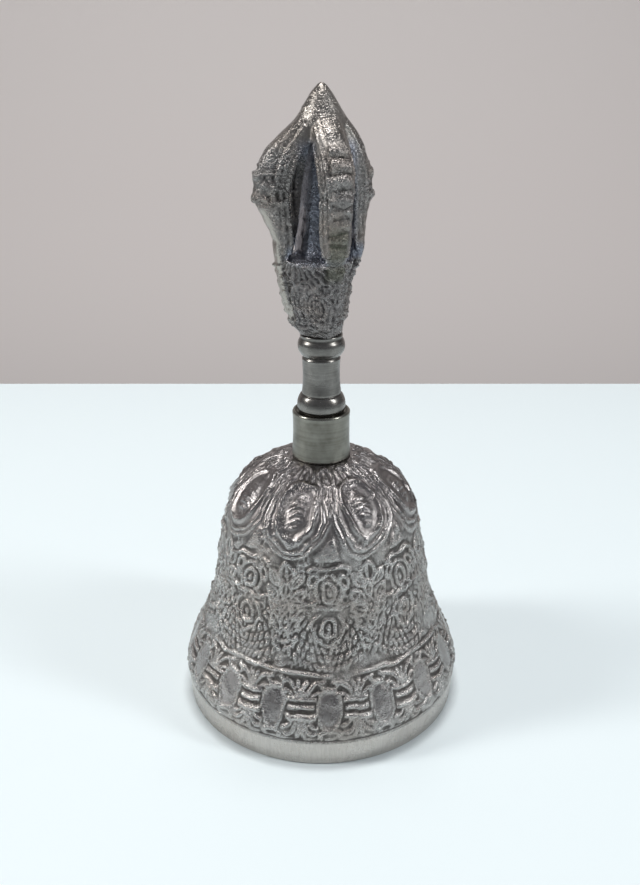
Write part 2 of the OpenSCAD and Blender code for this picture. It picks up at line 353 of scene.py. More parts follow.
def bell_side(inset, drop, top_r):
    """Wall from the foot to the crown: a short upright foot and three cubic curves that share
    their directions at the waist and the shoulder; the crown end is lowered by drop."""
    foot = np.array([33.4 - inset, 5.9])
    flank = foot + [-0.1, 2.9]
    waist = np.array([25.5 - inset, 32.0])
    shoulder = np.array([22.2 - inset, 49.0 - drop / 2])
    crown = np.array([top_r, BELL_H - drop])
    waist_lean = np.array([0.14, -1])
    shoulder_lean = np.array([0.25, -1])
    crown_lean = np.array([0.93, -0.37])
    return np.vstack([
        foot, flank,
        cubic(flank, flank + [-0.1, 1.9], waist + 9 * waist_lean, waist, 40),
        cubic(waist, waist - 3.1 * waist_lean, shoulder + 6.8 * shoulder_lean, shoulder, 30),
        cubic(shoulder, shoulder - 6.6 * shoulder_lean, crown + 9 * crown_lean, crown, 40)])


def oval(x, y, cx, cy, half_x, half_y, tilt=0.0):
    """Distance-like value of an oval: 0 on its outline, negative inside, in millimetres."""
    t = math.radians(tilt)
    u = (x - cx) * math.cos(t) + (y - cy) * math.sin(t)
    v = (y - cy) * math.cos(t) - (x - cx) * math.sin(t)
    return (np.sqrt((u / half_x) ** 2 + (v / half_y) ** 2) - 1) * min(half_x, half_y)


def ridge(d, half_width):
    """Rounded ridge of height 1 where d is 0, down to 0 at half_width each side."""
    return np.clip(1 - (d / half_width) ** 2, 0, 1)


def plateau(d, edge):
    """Height 1 where d is below -edge, down to 0 where d reaches 0."""
    return step_up(0, edge, -d)


def strokes(x, y, path, half_width):
    """Rounded cord of height 1 along a smooth curve through the points of path."""
    curve = catmull(path, 3 * len(path))
    best = np.full(x.shape, 99.0)
    for a, b in zip(curve[:-1], curve[1:]):
        along = b - a
        t = np.clip(((x - a[0]) * along[0] + (y - a[1]) * along[1]) / (along @ along), 0, 1)
        best = np.minimum(best, np.hypot(x - a[0] - t * along[0], y - a[1] - t * along[1]))
    return ridge(best, half_width)


def leaf(x, y, cx, cy, half_width, half_length, tilt, rim=0.5):
    """Almond with a raised rim, a raised vein and a shallow hollow between them."""
    t = math.radians(tilt)
    u = (x - cx) * math.cos(t) + (y - cy) * math.sin(t)
    v = (y - cy) * math.cos(t) - (x - cx) * math.sin(t)
    d = (np.abs(u) / half_width + (v / half_length) ** 2 - 1) * half_width
    vein = ridge(u, 0.4) * plateau(d, 0.5)
    return np.maximum(ridge(d, rim), 0.55 * vein)


def petals(x, s, radius):
    """Big lotus petals: nested rims that run up the joint between neighbours, a raised
    oval rim within them, and a domed boss crossed by curved ripples."""
    half = radius * math.pi / TILES
    across = half - np.abs(x)
    low = 56.4
    rounded = 7.7 - np.hypot(x, s - low)
    d = np.where(s < low, rounded, np.minimum(across, 7.7))
    inside = d > -0.4
    rims = np.maximum(0.8 * ridge(d - 0.35, 0.5), 0.95 * ridge(d - 1.55, 0.5))
    top = 1 - step_up(66.5, 68.5, s)
    body = 0.2 * plateau(-d, 0.6)
    ring_d = oval(x, s, 0, 58.8, 4.2, 6.8)
    ring = 1.25 * ridge(ring_d, 0.8)
    slope = 0.5 * step_up(-2.2, 0, ring_d) * (ring_d < 0)
    boss_d = oval(x, s, 0.1, 58.6, 2.1, 4.4)
    boss = np.sqrt(np.clip(-boss_d / 2.1, 0, 1))
    ripples = np.abs(np.cos((s - 58.2 + 0.22 * x * x) * math.pi / 1.5))
    return inside * top * np.maximum.reduce([rims, body, ring, slope, boss * (0.45 + 0.95 * ripples)])


def collar_leaves(x, s, radius):
    """Ring of small round-ended leaves that radiate from under the collar."""
    step = radius * 2 * math.pi / 16
    u = (x + step / 2) % step - step / 2
    d = oval(u, s, 0, 67.6, 1.45, 3.0)
    vein = ridge(u, 0.45) * plateau(d, 0.8)
    return np.maximum(0.8 * ridge(d, 0.5), 0.6 * vein) * (s > 64)


def medallions(x, s):
    """Down the middle of each tile: a smooth gusset, a bar with curled ends, a teardrop
    with a ring, a beaded box, and a second teardrop in a pointed frame."""
    w = np.abs(x)
    gusset = 0.62 * plateau(np.maximum(w + 0.62 * (s - 49.4) - 2.6, 48.9 - s), 0.35)
    bar = 1.25 * strokes(x, s, [(-4.0, 46.4), (-3.1, 47.4), (0, 47.3), (2.6, 47.7), (4.8, 47.0),
                                (4.5, 45.9)], 0.5)
    drops = 0.8 * ridge(oval(w, s, 3.3, 44.3, 0.9, 1.5, 25), 0.42)
    first = oval(x, s, 0, 41.9, 1.45, 2.2)
    tear = np.maximum(1.0 * ridge(first, 0.42), 0.8 * plateau(first + 0.75, 0.5))
    hood = 0.85 * strokes(w, s, [(0.4, 45.6), (1.9, 44.6), (2.9, 42.8), (2.7, 41.0), (1.9, 39.8)], 0.4)
    swag = 0.95 * strokes(w, s, [(2.7, 39.6), (4.0, 39.0), (5.6, 39.4), (6.8, 40.4)], 0.42)
    beads = 1.0 * ridge(s - 38.4, 0.6) * (w < 3.4) * (0.35 + 0.65 * np.cos(x * 2 * math.pi / 1.5) ** 2)
    lower = oval(x, s, 0, 33.6, 1.4, 2.2)
    tear_2 = np.maximum(1.0 * ridge(lower, 0.42), 0.8 * plateau(lower + 0.75, 0.5))
    frame_v = 0.9 * strokes(w, s, [(0, 29.0), (1.2, 30.0), (2.6, 31.4), (3.3, 33.2), (3.1, 35.2),
                                   (2.2, 36.6)], 0.4)
    return np.maximum.reduce([gusset, bar, drops, tear, hood, swag, beads, tear_2, frame_v])


def festoons(x, s):
    """Nested garlands hung round the second teardrop: rings of short radial strokes, each
    ring cut by the gaps between its strokes."""
    rho = np.hypot(x, s - 38.0)
    down = np.arctan2(np.abs(x), 38.0 - s)
    on = step_up(0.0, 0.12, 1.75 - down)
    total = np.zeros(x.shape)
    for k, (radius, height) in enumerate(((6.0, 0.8), (7.9, 0.95), (9.9, 1.0), (11.9, 0.95), (14.0, 0.8))):
        count = round(2 * math.pi * radius / 1.45)
        turn = down + 0.4 * k + 0.05 * (rho - radius)
        pearl = step_up(0.25, 0.75, 0.5 + 0.5 * np.cos(turn * count))
        total = np.maximum(total, height * ridge(rho - radius, 0.92) * pearl)
    return total * on


def between(x, s, radius):
    """At the joints between tiles: a stack of almond leaves with a spray each side, and
    scrolls that fill the ground up to the petals."""
    half = radius * math.pi / TILES
    w = half - np.abs(x)
    total = 0.8 * leaf(w, s, 0, 45.6, 1.6, 2.4, 0)
    for cx, cy, tilt in ((2.5, 44.0, -38), (2.9, 40.6, -48), (2.6, 37.2, -38), (2.3, 33.8, -30)):
        total = np.maximum(total, 0.75 * leaf(w, s, cx, cy, 1.0, 2.1, tilt))
    for cy in (41.6, 38.0, 34.4, 31.0):
        total = np.maximum(total, 0.8 * leaf(w, s, 0, cy, 1.1, 1.9, 0))
    scroll = strokes(w, s, [(0.6, 27.6), (2.0, 28.6), (2.4, 30.2), (1.2, 30.6), (0.9, 29.6)], 0.5)
    return np.maximum(total, 0.8 * scroll)


def vajras(x, s, radius):
    """Sixteen upright vajras round the foot: three bars at the waist of each, prongs that
    splay above and below, and smooth ovals between neighbours. Also returns where they lie."""
    step = radius * 2 * math.pi / 16
    u = (x % step) - step / 2
    w = np.abs(u)
    bars = np.zeros(x.shape)
    for cy, reach in ((16.3, 3.2), (14.0, 2.8), (11.7, 3.3)):
        bars = np.maximum(bars, ridge(s - cy - 0.04 * u * u, 0.8) * step_up(0, 0.5, reach - w))
    splay = np.zeros(x.shape)
    for path, thick in (([(0.3, 17.3), (0.3, 19.0), (0.8, 20.9)], 0.5),
                        ([(0.9, 17.3), (1.3, 18.9), (2.2, 20.4), (3.3, 21.2)], 0.5),
                        ([(1.7, 17.3), (2.7, 18.1), (3.6, 18.6), (4.0, 17.9)], 0.45),
                        ([(0.3, 10.8), (0.3, 9.2), (0.9, 7.4)], 0.5),
                        ([(0.9, 10.8), (1.4, 9.3), (2.4, 8.2), (3.3, 8.3)], 0.5),
                        ([(1.8, 10.8), (2.8, 10.0), (3.7, 9.8)], 0.45)):
        splay = np.maximum(splay, strokes(w, s, path, thick))
    gap = step / 2 - w
    patch_d = oval(gap, s, 0, 14.4, 2.1, 4.1)
    patch = np.maximum(0.42 * plateau(patch_d - 0.5, 0.6), 0.62 * ridge(patch_d - 0.6, 0.35))
    curl = strokes(gap, s, [(0.3, 19.2), (1.2, 19.8), (1.8, 20.9), (1.0, 21.5)], 0.5)
    scallop = strokes(gap, s, [(0.0, 8.9), (1.3, 8.7), (2.0, 7.9), (1.5, 7.1)], 0.5)
    high = np.maximum.reduce([1.2 * bars, 0.9 * splay, patch, 0.7 * curl, 0.8 * scallop])
    return high, plateau(patch_d - 0.5, 0.6)


def wall_relief(theta, s, radius, points):
    """Height of the cast ornament over the wall, in millimetres, at an angle theta and an
    arc length s above the rim, and where the smooth ovals lie; the casting's unevenness
    bends every line a little."""
    bend = 0.42 * grain(points, 2.3, 11) + 0.5 * grain(points, 6.0, 12)
    bend_2 = 0.42 * grain(points, 2.3, 13) + 0.45 * grain(points, 6.0, 14)
    twist = FOOT_TWIST + (PETAL_TWIST - FOOT_TWIST) * step_up(47, 56, s)
    tile = 2 * math.pi / TILES
    angle = theta + math.pi / 2 - np.radians(twist)
    x = ((angle + tile / 2) % tile - tile / 2) * radius + bend
    ornament = s > 6.6
    s = s + bend_2 * ornament + 1.1 * step_up(13, 20, s) * (1 - step_up(46, 54, s))
    x_petal = ((angle + tile) % tile - tile / 2) * radius + bend
    shoulder = np.maximum(petals(x_petal, s, radius), collar_leaves(x, s, radius))
    middle = np.maximum.reduce([medallions(x, s), festoons(x, s), between(x, s, radius)])
    in_middle = step_up(23.2, 24.0, s) * (1 - step_up(52.5, 54.0, s))
    foot, ovals = vajras(x, s, radius)
    below = 1 - step_up(21.9, 22.4, s)
    foot, ovals = foot * below, ovals * below
    breaks = step_up(-0.5, 0.15, grain(points, 4.5, 15) + 0.5 * grain(points, 1.6, 26))
    ring = 1.15 * ridge(s - 22.7, 0.6) * breaks
    edge = ridge(s - 6.7, 0.8) * (0.5 + 0.6 * grain(points, 1.7, 16))
    cast = np.maximum.reduce([shoulder, middle * in_middle, foot, ring, edge]) * ornament
    soft = grain(points, 2.7, 17) + 0.6 * grain(points, 1.2, 23)
    worn = 0.95 + np.where(in_middle > 0.5, 0.6, 0.32) * soft
    worm = np.clip(1 - np.abs(grain(points, 1.5, 24)) / 0.2, 0, 1)
    worm_2 = np.clip(1 - np.abs(grain(points, 1.1, 25)) / 0.24, 0, 1)
    plain = np.maximum(step_up(54, 56, s), ovals)
    busy = 0.1 + (0.9 * in_middle * (1 - 0.45 * np.clip(middle, 0, 1)) + 0.3 * (s < 22)) * (1 - plain)
    ground = 0.035 * grain(points, 0.9, 18) + 0.08 * grain(points, 2.2, 19)
    patchy = step_up(-0.5, 0.4, grain(points, 4.2, 27))
    ground = ground + 0.36 * busy * patchy * np.maximum(worm, 0.8 * worm_2)
    lip = 0.5 * (1 - step_up(5.9, 6.5, s))
    return 0.62 * cast * np.clip(worn, 0.1, 1.5) + ground * step_up(6.2, 7.0, s) + lip, ovals


def make_bell():
    """One closed wall: the relief outside on a fine grid, a plain inside on a coarse one,
    and triangles that join four fine cells to each coarse one at the rim and the crown."""
    base = evenly(np.vstack([[32.75, 0.35], bell_side(0.3, 0, 7.2)]), SIDE_ROWS)
    base[:, 0] += 0.5 * step_up(6, 9, base[:, 1]) * (1 - step_up(13, 26, base[:, 1]))
    base[:, 0] += 0.25 * step_up(40, 48, base[:, 1]) * (1 - step_up(56, 60, base[:, 1]))
    slope = np.gradient(base, axis=0)
    slope /= np.linalg.norm(slope, axis=1)[:, None]
    out_r, out_z = slope[:, 1], -slope[:, 0]
    s = arc_lengths(base)
    theta = np.arange(COLUMNS) * 2 * math.pi / COLUMNS
    grid_s, grid_t = np.meshgrid(s, theta, indexing="ij")
    grid_r = np.repeat(base[:, :1], COLUMNS, axis=1)
    surface = np.stack([grid_r * np.cos(grid_t), grid_r * np.sin(grid_t),
                        np.repeat(base[:, 1:], COLUMNS, axis=1)], axis=-1).reshape(-1, 3)
    relief, ovals = wall_relief(grid_t.ravel(), grid_s.ravel(), grid_r.ravel(), surface)
    relief = relief.reshape(SIDE_ROWS, COLUMNS)
    relief *= step_up(0, 0.9, s[-1] - s)[:, None]
    r = base[:, :1] + relief * out_r[:, None]
    z = base[:, 1:] + relief * out_z[:, None]
    fine = np.stack([r * np.cos(theta), r * np.sin(theta), z], axis=-1)
    rim_r = r[0] - 0.25
    rim = np.stack([rim_r * np.cos(theta), rim_r * np.sin(theta), np.zeros(COLUMNS)], axis=-1)
    seat_r = np.full(COLUMNS, 6.9)
    seat = np.stack([seat_r * np.cos(theta), seat_r * np.sin(theta), np.full(COLUMNS, BELL_H)], axis=-1)
    coarse = COLUMNS // 4
    inner = np.vstack([
        [[30.35, 0.0], [30.1, 0.25]],
        evenly(bell_side(WALL, CROWN_T, 6.3), 54),
        [[4.4, BELL_H - CROWN_T], [2.75, BELL_H - CROWN_T], [2.65, BELL_H - CROWN_T + 0.1],
         [2.65, BELL_H - 1.5], [2.65, BELL_H - 0.1], [2.75, BELL_H], [4.6, BELL_H]]])
    phi = np.arange(coarse) * 2 * math.pi / coarse
    hollow = np.stack([inner[:, :1] * np.cos(phi), inner[:, :1] * np.sin(phi),
                       np.repeat(inner[:, 1:], coarse, axis=1)], axis=-1)
    skin = hollow.reshape(-1, 3)
    wobble = 0.12 * grain(skin, 4.0, 21) + 0.05 * grain(skin, 1.5, 22)
    between_ends = (inner[:, 1] > 1) & (inner[:, 0] > 7)
    wobble *= np.repeat(between_ends, coarse)
    skin = skin * np.stack([1 + wobble / 25, 1 + wobble / 25, np.ones(len(skin))], axis=-1)
    points = np.vstack([rim, fine.reshape(-1, 3), seat, skin])
    fine_rows = SIDE_ROWS + 2
    first_coarse = fine_rows * COLUMNS
    outside = grid_faces(fine_rows, COLUMNS)
    inside = grid_faces(len(inner), coarse, first=first_coarse)[:, ::-1]
    last_coarse = first_coarse + (len(inner) - 1) * coarse
    joints = [four_to_one(0, first_coarse, coarse, False),
              four_to_one((fine_rows - 1) * COLUMNS, last_coarse, coarse, True)]
    edges = face_edges([outside])
    normals = grid_normals(points[:first_coarse].reshape(fine_rows, COLUMNS, 3)).reshape(-1, 3)
    out = stand_out(edges, points[:first_coarse], normals, 14, 0.22)
    # the inside is given a fixed sunken value, so it takes part of the hollows' dark colour
    field = np.concatenate([out, np.full(len(skin), -0.35)])
    height = points[:first_coarse, 2]
    ovals = np.concatenate([np.zeros(COLUMNS), ovals, np.zeros(COLUMNS)])
    calm = np.where(height < 6.2, 1.0, 0.5 * step_up(48, 52, height) + 0.6 * ovals)
    tone = np.concatenate([calm, np.full(len(skin), 0.3)])
    # painted shade: darker towards the crown over the shoulder, and on the smooth ovals
    dusk = step_up(44, 56, points[:, 2])
    dusk[:first_coarse] = np.maximum(dusk[:first_coarse], 0.75 * ovals)
    return put_mesh("bell_cup_cast", points, [outside, inside] + joints, bell_metal, "bell",
                    ["bell_cup"], {"stands_out": field, "smooth": tone, "dusk": dusk})


def four_to_one(fine_start, coarse_start, coarse, upward):
    """Triangles that join a ring of four times as many points to a coarse ring."""
    k = np.arange(coarse)
    f = [fine_start + (4 * k + n) % (4 * coarse) for n in range(5)]
    a = coarse_start + k
    b = coarse_start + (k + 1) % coarse
    made = [(f[0], f[1], a), (f[1], f[2], a), (a, f[2], b), (f[2], f[3], b), (f[3], f[4], b)]
    faces = np.vstack([np.stack(t, axis=-1) for t in made])
    return faces if upward else faces[:, ::-1]


def face_edges(faces):
    """Each pair of neighbouring corners of the faces, once."""
    pairs = np.vstack([np.stack([f, np.roll(f, -1, axis=1)], axis=-1).reshape(-1, 2) for f in faces])
    return np.unique(np.sort(pairs, axis=1), axis=0)


def grid_normals(grid):
    """Outward normals of a grid of points that closes round its columns."""
    along = np.roll(grid, -1, axis=1) - np.roll(grid, 1, axis=1)
    up = np.gradient(grid, axis=0)
    normal = np.cross(along, up)
    return normal / np.maximum(np.linalg.norm(normal, axis=-1, keepdims=True), 1e-9)


# ---------------------------------------------------------------- turned pieces

def revolve(profile, columns, wobble=0.0, seed=1):
    """Closed ring of revolution from a closed profile of [radius, height] points."""
    phi = np.arange(columns) * 2 * math.pi / columns
    points = np.stack([profile[:, :1] * np.cos(phi), profile[:, :1] * np.sin(phi),
                       np.repeat(profile[:, 1:], columns, axis=1)], axis=-1).reshape(-1, 3)
    shift = wobble * grain(points, 3.0, seed)
    points[:, :2] *= (1 + shift / np.maximum(np.hypot(points[:, 0], points[:, 1]), 1))[:, None]
    return points, grid_faces(len(profile), columns, closed_rows=True)


def make_turned(name, node, profile, material, columns=160, wobble=0.03, seed=1):
    points, quads = revolve(profile, columns, wobble, seed)
    mesh_points = points.reshape(len(profile), columns, 3)
    along = np.roll(mesh_points, -1, axis=1) - np.roll(mesh_points, 1, axis=1)
    up = np.roll(mesh_points, -1, axis=0) - np.roll(mesh_points, 1, axis=0)
    normals = np.cross(along, up).reshape(-1, 3)
    normals /= np.maximum(np.linalg.norm(normals, axis=1, keepdims=True), 1e-9)
    out = stand_out(face_edges([quads]), points, normals, 10, 0.15)
    return put_mesh(name, points, [quads], material, "bell", [node], {"stands_out": out})


def soften(profile, size, count):
    """Closed profile with its corners rounded: evenly spaced, then averaged with neighbours."""
    closed = evenly(np.vstack([profile, profile[:1]]), count + 1)[:-1]
    spacing = np.linalg.norm(closed[1] - closed[0])
    for _ in range(max(1, round((size / spacing) ** 2))):
        closed = (np.roll(closed, 1, axis=0) + 2 * closed + np.roll(closed, -1, axis=0)) / 4
    return closed


COLLAR_Z = BELL_H
SPINDLE_Z = 72.9
HEAD_Z = 91.2
BORE_R = 2.65


def make_collar():
    """Short waisted ferrule with a chamfered top edge and a dished top."""
    side = cubic((6.8, 0), (6.5, 3.8), (6.35, 8.2), (6.6, 10.85), 14)
    profile = np.vstack([[BORE_R, 0], [6.55, 0], [6.8, 0.25], side, [6.2, 11.3], [5.7, 10.75],
                         [BORE_R, 10.7]])
    profile = soften(profile, 0.12, 150) + [0, COLLAR_Z]
    profile[:, 1] = np.maximum(profile[:, 1], COLLAR_Z)
    return make_turned("collar_turned", "collar", profile, collar_metal, wobble=0.04, seed=31)


def make_spindle():
    """Baluster: lower bead, long waist, groove with a sharp edge, upper bead and neck."""
    lower = cubic((4.9, 0), (5.75, 0.6), (5.7, 2.9), (4.75, 4.3), 10)
    waist = cubic((4.45, 4.75), (4.05, 7.7), (4.1, 9.9), (4.3, 12.5), 12)
    upper = cubic((4.5, 13.9), (5.5, 14.3), (5.5, 16.7), (4.75, 17.3), 10)
    profile = np.vstack([[BORE_R, 0], [4.9, 0], lower, [4.3, 4.5], [4.45, 4.75], waist,
                         [4.35, 12.8], [4.0, 13.1], [4.0, 13.35], [4.5, 13.6], upper,
                         [4.7, 17.6], [4.8, 18.3], [BORE_R, 18.3]])
    profile = soften(profile, 0.1, 210) + [0, SPINDLE_Z]
    return make_turned("spindle_turned", "spindle", profile, spindle_metal,
                       wobble=0.05, seed=41)


# ---------------------------------------------------------------- the half-vajra head

PRONG_TURN = 20.0
REACH = (1.14, 1.0, 0.86, 1.0)
THICKER = (1.0, 0.0, 1.5, 0.0)
WIDER = (1.0, 1.0, 1.0, 1.3)
ROOT_Z = np.array([93.8, 94.8, 97.4, 100.4, 103.3, 106.2, 109.0, 112.0])
ROOTS = np.array([[6.1, 6.9, 7.9, 8.8, 9.4, 9.95, 10.35, 10.6], [5.4, 6.0, 6.8, 7.4, 8.0, 8.7, 9.3, 9.7],
                  [4.7, 5.3, 5.9, 6.3, 6.9, 7.7, 8.3, 9.0], [5.4, 6.0, 6.8, 7.4, 8.0, 8.7, 9.3, 9.7]])
HEAD_GRAIN = 0.25


class Lumps:
    """Closed forms gathered in one list, to be cast together."""

    def __init__(self):
        self.points = []
        self.faces = []
        self.count = 0

    def add(self, points, faces, turn=0.0):
        """Adds a form, turned about the bell's axis by an angle in degrees."""
        t = math.radians(turn)
        spin = np.array([[math.cos(t), math.sin(t), 0], [-math.sin(t), math.cos(t), 0], [0, 0, 1]])
        self.points.append(points @ spin)
        self.faces += [f + self.count for f in faces]
        self.count += len(points)


def loft(stations, half_u, half_v, u_axis, v_axis, power, sides=28, taper=0.0):
    """Closed form on a row of stations: a superellipse |u|^p + |v|^p = 1 at each, narrower on
    its +u side by the share taper, closed at both ends by a single point."""
    a = np.arange(sides) * 2 * math.pi / sides
    c = np.sign(np.cos(a)) * np.abs(np.cos(a)) ** (2 / power)
    s = np.sign(np.sin(a)) * np.abs(np.sin(a)) ** (2 / power)
    taper = np.broadcast_to(taper, (len(stations),))[:, None]
    across = np.asarray(half_v)[:, None] * s * (1 - taper * c)
    rings = (stations[:, None] + u_axis[:, None] * (np.asarray(half_u)[:, None] * c)[..., None]
             + v_axis[:, None] * across[..., None])
    points = np.vstack([rings.reshape(-1, 3), stations[:1], stations[-1:]])
    n = len(stations)
    faces = [grid_faces(n, sides), pole_faces(0, sides, n * sides, False),
             pole_faces((n - 1) * sides, sides, n * sides + 1, True)]
    return points, faces


def radial_loft(outline, half_width, power=2.6, sides=36, taper=0.0):
    """Form that stands in the plane of a prong: outline holds rows of [z, inner radius,
    outer radius], and half_width its thickness across the plane at each row."""
    rows = np.asarray(outline, dtype=float)
    middle = np.stack([(rows[:, 1] + rows[:, 2]) / 2, rows[:, 0]], axis=-1)
    slope = np.gradient(middle, axis=0)
    slope /= np.linalg.norm(slope, axis=1)[:, None]
    stations = np.stack([middle[:, 0], np.zeros(len(rows)), middle[:, 1]], axis=-1)
    u_axis = np.stack([slope[:, 1], np.zeros(len(rows)), -slope[:, 0]], axis=-1)
    v_axis = np.tile([0.0, 1.0, 0.0], (len(rows), 1))
    half_u = (rows[:, 2] - rows[:, 1]) / 2 * np.maximum(slope[:, 1], 0.45)
    return loft(stations, half_u, half_width, u_axis, v_axis, power, sides, taper)


def tube(path, radius, sides=12):
    """Round cord along a path of points; radius may change along it; its ends are closed."""
    path = np.asarray(path, dtype=float)
    radius = np.broadcast_to(np.asarray(radius, dtype=float), (len(path),))
    forward = np.gradient(path, axis=0)
    forward /= np.linalg.norm(forward, axis=1)[:, None]
    helper = np.where(np.abs(forward[:, 1:2]) < 0.8, [[0.0, 1.0, 0.0]], [[1.0, 0.0, 0.0]])
    u_axis = np.cross(helper, forward)
    u_axis /= np.linalg.norm(u_axis, axis=1)[:, None]
    v_axis = np.cross(forward, u_axis)
    return loft(path, radius, radius, u_axis, v_axis, 2.0, sides)


def ball(centre, half, tilt=0.0, sides=20):
    """Ellipsoid with its half sizes along and across the prong and upwards, tilted in the
    prong's plane."""
    t = np.linspace(-math.pi / 2, math.pi / 2, 13)
    up = np.array([math.sin(math.radians(tilt)), 0, math.cos(math.radians(tilt))])
    side = np.array([up[2], 0, -up[0]])
    stations = np.asarray(centre) + np.sin(t)[:, None] * half[2] * up
    width = np.maximum(np.cos(t), 0.02)
    n = len(t)
    return loft(stations, width * half[0], width * half[1], np.tile(side, (n, 1)),
                np.tile([0.0, 1.0, 0.0], (n, 1)), 2.0, sides)


def prong_outline(reach, inwards=0.0):
    """Rows of [z, inner radius, outer radius] of one prong, root to cap; inwards thickens it
    towards the axis."""
    rows = np.array([
        [103.0, 4.0, 6.4], [105.0, 5.6, 7.4], [107.5, 7.4, 8.6], [109.5, 8.0, 9.4],
        [112.0, 8.1, 10.0], [114.5, 8.1, 10.6], [117.0, 8.2, 11.3], [119.5, 8.4, 12.1],
        [122.0, 8.5, 12.5], [124.5, 8.1, 12.4], [127.0, 7.2, 11.8], [129.5, 5.7, 10.7],
        [131.8, 3.7, 9.1], [133.8, 2.0, 7.2], [135.6, 0.8, 5.4], [137.4, 0.2, 3.9]])
    smooth = catmull(rows, 60)
    share = step_up(107, 120, smooth[:, 0]) * (1 - step_up(128, 137, smooth[:, 0]))
    smooth[:, 1] *= 1 + (reach - 1) * 0.6 * share
    smooth[:, 1] -= inwards * step_up(106, 112, smooth[:, 0]) * (1 - step_up(125, 134, smooth[:, 0]))
    smooth[:, 2] *= 1 + (reach - 1) * share
    return smooth


def prong_widths(z):
    """Half widths of a prong at its inner edge and across its back, at each height."""
    inner = 2.5 + 0.75 * step_up(107, 114, z) - 0.35 * step_up(126, 135, z)
    back = 2.1 + 0.35 * step_up(126, 133, z)
    return inner, back


def add_prong(cast, reach, inwards, gain, turn):
    """One prong: an arm wedge-shaped across, with a makara's head of two rough lumps on its
    back and two ridges along each side by the window."""
    rows = prong_outline(reach, inwards)
    z = rows[:, 0]
    inner_w, back_w = gain * np.array(prong_widths(z))
    cast.add(*radial_loft(rows, (inner_w + back_w) / 2, 2.9,
                          taper=(inner_w - back_w) / (inner_w + back_w)), turn)

    def at(height, inwards=0.0, across=0.0):
        return np.array([np.interp(height, z, rows[:, 2]) - inwards, across, height])

    cast.add(*ball(at(121.2, 0.7), (1.75, 2.0, 1.15), 30), turn)
    cast.add(*ball(at(125.2, 0.55), (1.2, 1.9, 1.35), -25), turn)
    cast.add(*ball(at(123.2, 1.2), (1.1, 2.4, 1.3)), turn)
    for side in (-1, 1):
        for path, thick in (
                ([at(126.9, 1.0, 1.7 * side), at(125.0, 2.0, 2.3 * side), at(122.5, 2.9, 2.6 * side),
                  at(119.5, 3.0, 2.6 * side)], 0.5),
                ([at(123.9, 0.9, 2.1 * side), at(122.9, 1.9, 2.5 * side), at(121.4, 2.6, 2.6 * side)], 0.55),
                ([at(121.2, 0.6, 1.9 * side), at(120.3, 1.7, 2.3 * side), at(118.6, 1.7, 2.3 * side)], 0.5)):
            line = catmull(path, 14)
            cast.add(*tube(line, np.linspace(thick, 0.3, 14), 10), turn)
        for offset, radius in ((0.3, 0.52), (1.5, 0.46), (2.75, 0.4)):
            heights = np.linspace(109.5 if offset < 2 else 117.0, 134.6, 44)
            inner = np.interp(heights, z, rows[:, 1])
            outer = np.interp(heights, z, rows[:, 2])
            share = np.clip(offset / np.maximum(outer - inner, 1), 0, 1)
            wide_in, wide_back = gain * np.array(prong_widths(heights))
            lateral = (wide_in * (1 - share) + wide_back * share) * 0.97
            line = np.stack([inner + offset, side * lateral, heights], axis=-1)
            swell = 0.3 * step_up(120, 127, heights)
            cast.add(*tube(line, radius + swell, 10), turn)


def block_radius(z):
    """Radius of the block over the prong roots at each height."""
    levels = np.array([90.9, 91.2, 92.2, 93.2, 94.6, 97.3, 99.9, 102.5, 105.1, 106.4, 107.6, 108.3])
    radii = np.array([4.75, 4.8, 5.1, 5.6, 6.0, 6.35, 6.7, 7.15, 7.7, 8.1, 8.4, 8.2])
    return np.interp(z, levels, radii)


def block_point(angle, z, lift=0.0):
    """Point on the block: a rounded square, |u|^p + |v|^p = R^p, whose corners are the prong
    roots; angle is measured from a root, in radians."""
    p = 1.5
    shape = (np.abs(np.cos(angle)) ** p + np.abs(np.sin(angle)) ** p) ** (-1 / p)
    r = block_radius(z) * shape + lift
    lean = 1.35 * step_up(91.2, 95, z)
    return np.stack([r * np.cos(angle) + lean, r * np.sin(angle), z * np.ones_like(r)], axis=-1)


def add_block(cast):
    """Block under the windows, with a raised lip round each sill."""
    z = np.concatenate([np.linspace(HEAD_Z, 107.9, 40), [108.3, 108.5, 108.9, 109.9]])
    angle = np.arange(96) * 2 * math.pi / 96
    shrink = np.concatenate([np.zeros(40), [0.35, 1.2, 2.8, 4.6]])
    rings = block_point(angle[None, :], z[:, None], -shrink[:, None])
    points = np.vstack([rings.reshape(-1, 3), [[0, 0, HEAD_Z]], [[0, 0, 110.2]]])
    n = len(z)
    cast.add(points, [grid_faces(n, 96), pole_faces(0, 96, n * 96, False),
                      pole_faces((n - 1) * 96, 96, n * 96 + 1, True)], 180 + PRONG_TURN)
    for quarter in range(4):
        middle = math.pi / 4 + quarter * math.pi / 2
        lip = catmull([(-3.0, 108.2), (-2.4, 108.0), (-1.4, 107.9), (0.3, 107.6), (1.3, 107.2),
                       (2.2, 107.8), (3.0, 108.2)], 30)
        flat = block_radius(lip[:, 1]) * 0.8
        cast.add(*tube(block_point(middle + lip[:, 0] / flat, lip[:, 1], 0.1), 0.36, 8),
                 180 + PRONG_TURN)


